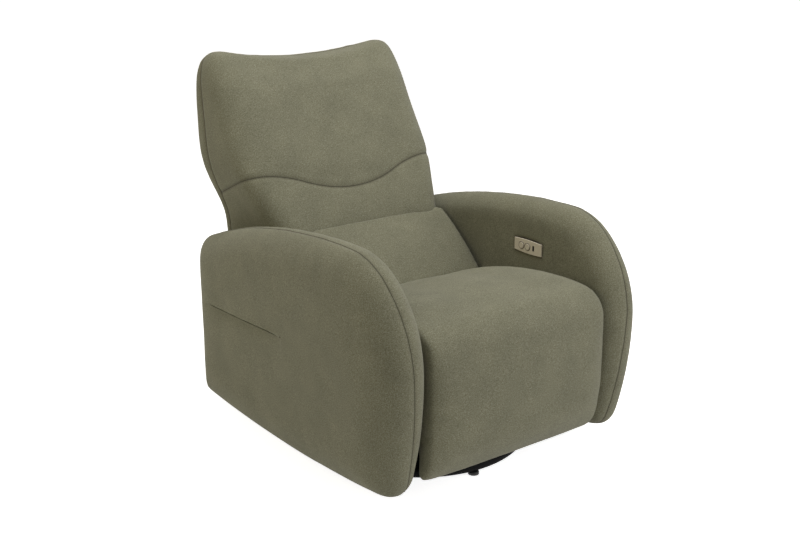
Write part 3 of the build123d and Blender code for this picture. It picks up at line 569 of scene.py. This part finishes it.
chaise = {
    "voxel": 0.007, "soften": 10, "coreSoften": 2, "kneeY": -0.437, "kneeZ": 0.385, "noseR": 0.075,
    "split": 0.407, "splitFall": 0.090, "heldOverSplit": (0.018, 0.003), "heldBehind": (-0.462, -0.452),
    "cap": 0.014, "topCap": 0.004, "shoulder": 0.010, "shoulderX": (0.08, 0.22), "sideCap": 0.003,
    "sideFacing": (0.6, 0.9), "upFacing": (0.2, 0.7),
    "edgeX": 0.250, "edgeWidth": 0.035, "edgePull": 0.0006, "edgeSize": 0.06,
    "loose": 0.0008, "looseSize": 0.20,
    "fold": 0.0045, "foldX": -0.262, "foldWidth": 0.040, "foldSize": 0.10, "foldStretch": (0.35, 1, 2.6),
    "foldY": (-0.46, -0.49), "foldZ": (0.11, 0.16), "seeds": (31, 32, 33),
}


def halfOf(obj, keepTop):
    # keeps what lies above or below the underside of the top layer and closes the cut
    pick(obj)
    bpy.ops.object.mode_set(mode="EDIT")
    bpy.ops.mesh.select_all(action="SELECT")
    bpy.ops.mesh.bisect(plane_co=(0, chaise["kneeY"], chaise["split"]), plane_no=(0, chaise["splitFall"], 1),
                        use_fill=True, clear_inner=keepTop, clear_outer=not keepTop)
    bpy.ops.object.mode_set(mode="OBJECT")


def buildChaise():
    # the foam below the top layer is a core of its own, which stays with the seat
    obj = copyNodes("chaise", ["seat_cushion"])
    halfOf(obj, True)
    front = copyNodes("front", ["seat_nose", "footrest_pad"])
    pick(obj, front)
    bpy.ops.object.join()
    voxelSkin(obj, chaise["voxel"], chaise["soften"])
    core = copyNodes("seatCore", ["seat_cushion"])
    halfOf(core, False)
    voxelSkin(core, chaise["voxel"], chaise["coreSoften"])
    return obj, core


def chaiseHeld(points):
    # the cover stays on the seat's core and on the back of the footrest pad
    overSplit = points[:, 2] + chaise["splitFall"] * (points[:, 1] - chaise["kneeY"]) - chaise["split"]
    onCore = smoothStep(*chaise["heldOverSplit"], overSplit) * (points[:, 1] > chaise["kneeY"])
    behindPad = smoothStep(*chaise["heldBehind"], points[:, 1]) * (points[:, 2] < chaise["kneeZ"])
    return np.maximum(onCore, behindPad)


def chaiseCap(points, normals):
    # little at the sides, which stand next to the arms, and more on the shoulders than in the middle of the top
    aside = smoothStep(*chaise["sideFacing"], np.abs(normals[:, 0]))
    upward = smoothStep(*chaise["upFacing"], normals[:, 2])
    topCap = chaise["topCap"] + chaise["shoulder"] * smoothStep(*chaise["shoulderX"], np.abs(points[:, 0]))
    return (chaise["cap"] * (1 - upward) + topCap * upward) * (1 - aside) + chaise["sideCap"] * aside


def chaiseFolds(points):
    # unevenness along both edges, and puckers at the edge next to the right arm
    pullSeed, looseSeed, foldSeed = chaise["seeds"]
    fromEdge = np.abs(np.abs(points[:, 0]) - chaise["edgeX"])
    pull = chaise["edgePull"] * wrinkle(points, chaise["edgeSize"], pullSeed)
    pull *= bump(fromEdge, chaise["edgeWidth"])
    loose = chaise["loose"] * wrinkle(points, chaise["looseSize"], looseSeed)
    fold = wrinkle(points * chaise["foldStretch"], chaise["foldSize"], foldSeed)
    fold *= smoothStep(*chaise["foldY"], points[:, 1]) * smoothStep(*chaise["foldZ"], points[:, 2])
    return pull + loose + chaise["fold"] * fold * bump(points[:, 0] - chaise["foldX"], chaise["foldWidth"])


chaiseCover, seatCore = buildChaise()
points = readPoints(chaiseCover)
swell(chaiseCover, chaiseHeld(points), chaiseCap(points, readNormals(chaiseCover)))
subdivide(chaiseCover)
points = readPoints(chaiseCover)
pressIn(chaiseCover, chaiseFolds(points))
finishPad(chaiseCover, None, np.zeros(len(points)))
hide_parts("seat_cushion", "seat_nose", "footrest_pad")
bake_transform(chaiseCover)
finishPad(seatCore, "chassis", np.zeros(len(seatCore.data.vertices)))
print("stage: seat and footrest padded")


# lumbar bolster

lumbar = {
    "voxel": 0.006, "soften": 10, "cap": 0.010, "heldZ": (0.410, 0.395), "heldY": (0.12, 0.14),
    "loose": 0.0012, "looseSize": 0.11, "seed": 41,
}


def buildLumbar():
    obj = copyNodes("lumbarBolster", ["lumbar_bolster"])
    voxelSkin(obj, lumbar["voxel"], lumbar["soften"])
    points = readPoints(obj)
    held = np.maximum(smoothStep(*lumbar["heldZ"], points[:, 2]), smoothStep(*lumbar["heldY"], points[:, 1]))
    swell(obj, held, np.full(len(points), lumbar["cap"]))
    subdivide(obj)
    points = readPoints(obj)
    pressIn(obj, lumbar["loose"] * wrinkle(points, lumbar["looseSize"], lumbar["seed"]))
    finishPad(obj, "backrest", np.zeros(len(points)))
    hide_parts("lumbar_bolster")


buildLumbar()
print("stage: lumbar bolster padded")


# back: two chambers parted by a wave seam, and a cover behind a welt

back = {
    "voxel": 0.008, "soften": 6, "cap": 0.011, "waveHeld": 0.010, "partingHeld": 0.008, "heldZ": (0.56, 0.50),
    "besideX": (0.24, 0.265), "besideZ": (0.67, 0.61), "frontEdge": 0.004,
    "waveMid": 0.614, "waveCrest": 0.681, "waveCrestX": 0.290, "edgeX": 0.333, "waveY": 0.223, "waveRate": 0.4,
    "partingY": 0.392, "partingZ": 0.345, "lean": (0.552 - 0.474) / (0.880 - 0.345),
    "groove": 0.0028, "grooveWidth": 0.009, "paintedShade": 0.55, "paintedShadeWidth": 0.004, "thread": 0.0007,
    "threadStep": 0.005, "threadX": 0.285, "threadLift": 0.0002,
    "weltGroove": 0.003, "weltGrooveWidth": 0.008, "weltShade": 0.35, "weltShadeWidth": 0.005, "welt": 0.0018,
    "weltStep": 0.006, "weltBottom": 0.47,
    "pull": 0.0010, "pullSize": 0.055, "pullWidth": 0.05, "loose": 0.0010, "looseSize": 0.17, "seeds": (51, 52),
}


def waveHeight(x):
    # two arcs: a dip in the middle, then a crest towards the side
    turnX = back["waveCrestX"] / 2
    rise = (back["waveCrest"] - back["waveMid"]) / 2
    dipR = (turnX**2 + rise**2) / (2 * rise)
    slope = 2 * math.atan(rise / turnX)
    run = back["edgeX"] - turnX
    crestR = math.hypot(run, rise) / (2 * math.sin(slope - math.atan(rise / run)))
    x = np.abs(x)
    dip = back["waveMid"] + dipR - np.sqrt(np.maximum(dipR**2 - np.minimum(x, turnX) ** 2, 0))
    centreX = turnX + crestR * math.sin(slope)
    centreZ = back["waveMid"] + rise - crestR * math.cos(slope)
    crest = centreZ + np.sqrt(np.maximum(crestR**2 - (x - centreX) ** 2, 0))
    return np.where(x < turnX, dip, crest)


def fromWaveSeam(points):
    # distance from the seam, which falls towards the rear
    return np.abs(points[:, 2] + back["waveRate"] * (points[:, 1] - back["waveY"]) - waveHeight(points[:, 0]))


def behindParting(points):
    lean = back["lean"]
    run = points[:, 1] - back["partingY"] - lean * (points[:, 2] - back["partingZ"])
    return run / math.sqrt(1 + lean**2)


def buildBack():
    obj = copyNodes("backRest", ["back_upper_pad", "back_lower_pad", "back_cover"])
    voxelSkin(obj, back["voxel"], back["soften"])
    points = readPoints(obj)
    behind = behindParting(points)
    front = behind < back["frontEdge"]
    held = np.maximum(bump(fromWaveSeam(points), back["waveHeld"]) * front, bump(behind, back["partingHeld"]))
    held = np.maximum(held, smoothStep(*back["heldZ"], points[:, 2]))
    # no swell where the reclined back passes between the arms
    beside = smoothStep(*back["besideX"], np.abs(points[:, 0])) * smoothStep(*back["besideZ"], points[:, 2])
    swell(obj, held, back["cap"] * (1 - beside))
    subdivide(obj)
    points = readPoints(obj)
    behind = behindParting(points)
    fromWave = fromWaveSeam(points)
    front = smoothStep(back["frontEdge"], -back["frontEdge"], behind)
    pullSeed, looseSeed = back["seeds"]
    groove = back["groove"] * bump(fromWave, back["grooveWidth"]) * front
    pull = back["pull"] * wrinkle(points, back["pullSize"], pullSeed)
    pull *= bump(fromWave, back["pullWidth"]) * front
    loose = back["loose"] * wrinkle(points, back["looseSize"], looseSeed)
    welt = back["weltGroove"] * bump(behind, back["weltGrooveWidth"])
    pressIn(obj, groove + pull + loose + welt)
    # painted shade along the wave seam's crease and beside the welt
    paintedShade = np.maximum(back["paintedShade"] * bump(fromWave, back["paintedShadeWidth"]) * front,
                        back["weltShade"] * bump(behind, back["weltShadeWidth"]))
    finishPad(obj, "backrest", paintedShade)
    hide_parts("back_upper_pad", "back_lower_pad", "back_cover")
    return obj


backRest = buildBack()


def surfaceTree(obj):
    return BVHTree.FromPolygons([v.co.copy() for v in obj.data.vertices],
                                [tuple(p.vertices) for p in obj.data.polygons])


def waveThread():
    # the seam's path across the front and round both sides to the welt
    tree = surfaceTree(backRest)
    down = Vector((0, 1, -back["waveRate"])).normalized()
    path = []
    for x in np.linspace(-back["threadX"], back["threadX"], 140):
        z = float(waveHeight(np.array([x]))[0]) + back["waveRate"] * (1 + back["waveY"])
        hit = tree.ray_cast(Vector((x, -1, z)), down)
        if hit[0]:
            path.append(hit[0] + hit[1] * back["threadLift"])
    for end, side in ((path[0], -1), (path[-1], 1)):
        tail = []
        for k in range(1, 60):
            y = end.y + k * 0.004
            z = end.z - back["waveRate"] * (y - end.y)
            hit = tree.ray_cast(Vector((side, y, z)), Vector((-side, 0, 0)))
            if behindParting(np.array([list(hit[0])]))[0] > -0.002:
                break
            tail.append(hit[0] + hit[1] * back["threadLift"])
        path = tail[::-1] + path if side < 0 else path + tail
    return np.array([list(p) for p in path])


thread = tubeAlong("backSeam", evenPath(waveThread(), back["threadStep"]), back["thread"])
finishTrim(thread, seamThread, "backrest")
lean = back["lean"]
leanLength = math.hypot(1, lean)
ring = cutLoop(backRest, (0, back["partingY"], back["partingZ"]), (0, 1 / leanLength, -lean / leanLength))
ring = np.roll(ring, -int(np.argmin(ring[:, 2])), axis=0)
ring = ring[ring[:, 2] > back["weltBottom"]]
weltCord = tubeAlong("backWelt", evenPath(ring, back["weltStep"]), back["welt"])
finishTrim(weltCord, weltCloth, "backrest")
print("stage: back padded")


# rear apron in the same cloth

apron = {"voxel": 0.004, "soften": 4}


def buildApron():
    obj = copyNodes("rearApron", ["rear_apron"])
    voxelSkin(obj, apron["voxel"], apron["soften"])
    pick(obj)
    bpy.ops.object.shade_smooth()
    finishPad(obj, "chassis", np.zeros(len(obj.data.vertices)))
    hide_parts("rear_apron")


buildApron()


# side pocket: a flat space inside the outer panel, open below the lip

def cutAway(obj, cutter):
    mod = obj.modifiers.new("cut", "BOOLEAN")
    mod.operation = "DIFFERENCE"
    mod.solver = "MANIFOLD"
    mod.object = cutter
    applyMod(obj, mod)
    bpy.data.objects.remove(cutter)


def buildPocket():
    midY = (pocket["front"] + pocket["rear"]) / 2
    midZ = (pocket["zFront"] + pocket["zRear"]) / 2
    fall = math.atan2(pocket["zRear"] - pocket["zFront"], pocket["rear"] - pocket["front"])
    tree = surfaceTree(rightArm)
    slotX, slotDepth = pocket["slot"]
    topZ, lowZ = midZ - pocket["slotDrop"], pocket["slotBottom"]
    face = tree.ray_cast(Vector((-1, midY, topZ)), Vector((1, 0, 0)))[0]
    deselectAll()
    bpy.ops.mesh.primitive_cube_add(size=1, location=(slotX, midY - pocket["slotShift"], (topZ + lowZ) / 2),
                                    scale=(slotDepth, pocket["mouth"][1] * pocket["slotShare"], topZ - lowZ))
    space = bpy.context.object
    bpy.ops.object.transform_apply(location=True, rotation=True, scale=True)
    mod = space.modifiers.new("round", "BEVEL")
    mod.width = pocket["slotRound"]
    mod.segments = 3
    applyMod(space, mod)
    cutAway(rightArm, space)
    deselectAll()
    mouthZ = midZ - pocket["mouth"][2] * pocket["mouthDrop"]
    bpy.ops.mesh.primitive_uv_sphere_add(segments=48, ring_count=24, radius=1,
                                         location=(face.x, midY - pocket["mouthShift"], mouthZ),
                                         rotation=(fall, 0, 0), scale=pocket["mouth"])
    lens = bpy.context.object
    bpy.ops.object.transform_apply(location=True, rotation=True, scale=True)
    cutAway(rightArm, lens)
    pick(rightArm)
    bpy.ops.object.shade_smooth_by_angle(angle=math.radians(pocket["smoothAngle"]))
    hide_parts("side_pocket")

    # a bar tack closes the mouth's front end
    y = pocket["front"] + pocket["dotIn"]
    spot = tree.ray_cast(Vector((-1, y, pocketLine(y)[1])), Vector((1, 0, 0)))[0]
    deselectAll()
    bpy.ops.mesh.primitive_uv_sphere_add(segments=16, ring_count=8, radius=pocket["dot"], location=spot)
    bpy.ops.object.transform_apply(location=True)
    tack = bpy.context.object
    tack.name = "pocketTack"
    bpy.ops.object.shade_smooth()
    finishTrim(tack, seamThread, "chassis")


buildPocket()
print("stage: apron and pocket made")


# studio: pale floor, soft lamps, white surround

studio = {
    "left": ((-3.0, 1.5, 2.0), 28, 1.8), "front": ((1.6, -3.3, 1.6), 48, 1.8),
    "top": ((0.1, -0.3, 3.4), 76, 2.4),
    "aim": (0, -0.1, 0.5), "ambient": 0.18, "fillTint": (1, 0.94, 0.74), "lampTint": (0.98, 0.99, 1.0),
    "floorTone": 0.9, "floorGlow": 0.85,
}


def addLamp(name, place, power, size):
    lamp = bpy.data.lights.new(name, "AREA")
    lamp.energy = power
    lamp.size = size
    lamp.color = studio["fillTint"] if name == "left" else studio["lampTint"]
    obj = bpy.data.objects.new(name, lamp)
    obj.location = place
    obj.rotation_euler = (Vector(studio["aim"]) - Vector(place)).to_track_quat("-Z", "Y").to_euler()
    bpy.context.scene.collection.objects.link(obj)


def whiteToCamera(nodes, links, shade, output):
    # the eye and reflections see white; the object is lit by the plain level behind it
    path = addNode(nodes, "ShaderNodeLightPath")
    seen = addNode(nodes, "ShaderNodeMath", operation="MAXIMUM")
    links.new(path.outputs["Is Camera Ray"], seen.inputs[0])
    links.new(path.outputs["Is Glossy Ray"], seen.inputs[1])
    alsoThrough = addNode(nodes, "ShaderNodeMath", operation="MAXIMUM")
    links.new(seen.outputs["Value"], alsoThrough.inputs[0])
    links.new(path.outputs["Is Transmission Ray"], alsoThrough.inputs[1])
    mix = addNode(nodes, "ShaderNodeMixShader")
    links.new(alsoThrough.outputs["Value"], mix.inputs["Fac"])
    links.new(shade, mix.inputs[1])
    links.new(mix.outputs["Shader"], output)
    return mix


def buildStudio():
    for name in ("left", "front", "top"):
        addLamp(name, *studio[name])
    world = bpy.data.worlds.new("surround")
    bpy.context.scene.world = world
    world.use_nodes = True
    nodes, links = world.node_tree.nodes, world.node_tree.links
    plain = nodes["Background"]
    plain.inputs["Color"].default_value = (*studio["fillTint"], 1)
    plain.inputs["Strength"].default_value = studio["ambient"]
    white = addNode(nodes, "ShaderNodeBackground", Color=(1, 1, 1, 1), Strength=1.0)
    mix = whiteToCamera(nodes, links, plain.outputs["Background"], nodes["World Output"].inputs["Surface"])
    links.new(white.outputs["Background"], mix.inputs[2])

    deselectAll()
    bpy.ops.mesh.primitive_plane_add(size=60, location=(0, 0, -0.0005))
    floor = bpy.context.object
    floor.name = "studioFloor"
    bpy.ops.object.transform_apply(location=True)
    mat, nodes, links, shader = newMaterial("paleFloor")
    shader.inputs["Base Color"].default_value = (*[studio["floorTone"]] * 3, 1)
    shader.inputs["Roughness"].default_value = 0.9
    glow = addNode(nodes, "ShaderNodeEmission", Color=(1, 1, 1, 1), Strength=studio["floorGlow"])
    soft = addNode(nodes, "ShaderNodeAddShader")
    links.new(shader.outputs["BSDF"], soft.inputs[0])
    links.new(glow.outputs["Emission"], soft.inputs[1])
    mix = whiteToCamera(nodes, links, shader.outputs["BSDF"], nodes["Material Output"].inputs["Surface"])
    links.new(soft.outputs["Shader"], mix.inputs[2])
    floor.data.materials.append(mat)


shot = {"place": (-1.677, -2.309, 1.323), "aim": (-0.0398, -0.0729, 0.4654), "focal": 1124, "width": 800}


def buildCamera():
    lens = bpy.data.cameras.new("photoCamera")
    lens.sensor_width = 36
    lens.lens = 36 * shot["focal"] / shot["width"]
    lens.clip_end = 50
    camera = bpy.data.objects.new("photoCamera", lens)
    place, aim = Vector(shot["place"]), Vector(shot["aim"])
    camera.location = place
    camera.rotation_euler = (aim - place).to_track_quat("-Z", "Y").to_euler()
    bpy.context.scene.collection.objects.link(camera)
    bpy.context.scene.camera = camera


buildStudio()
buildCamera()
bpy.context.scene.view_settings.view_transform = "Standard"
print("stage: studio set")
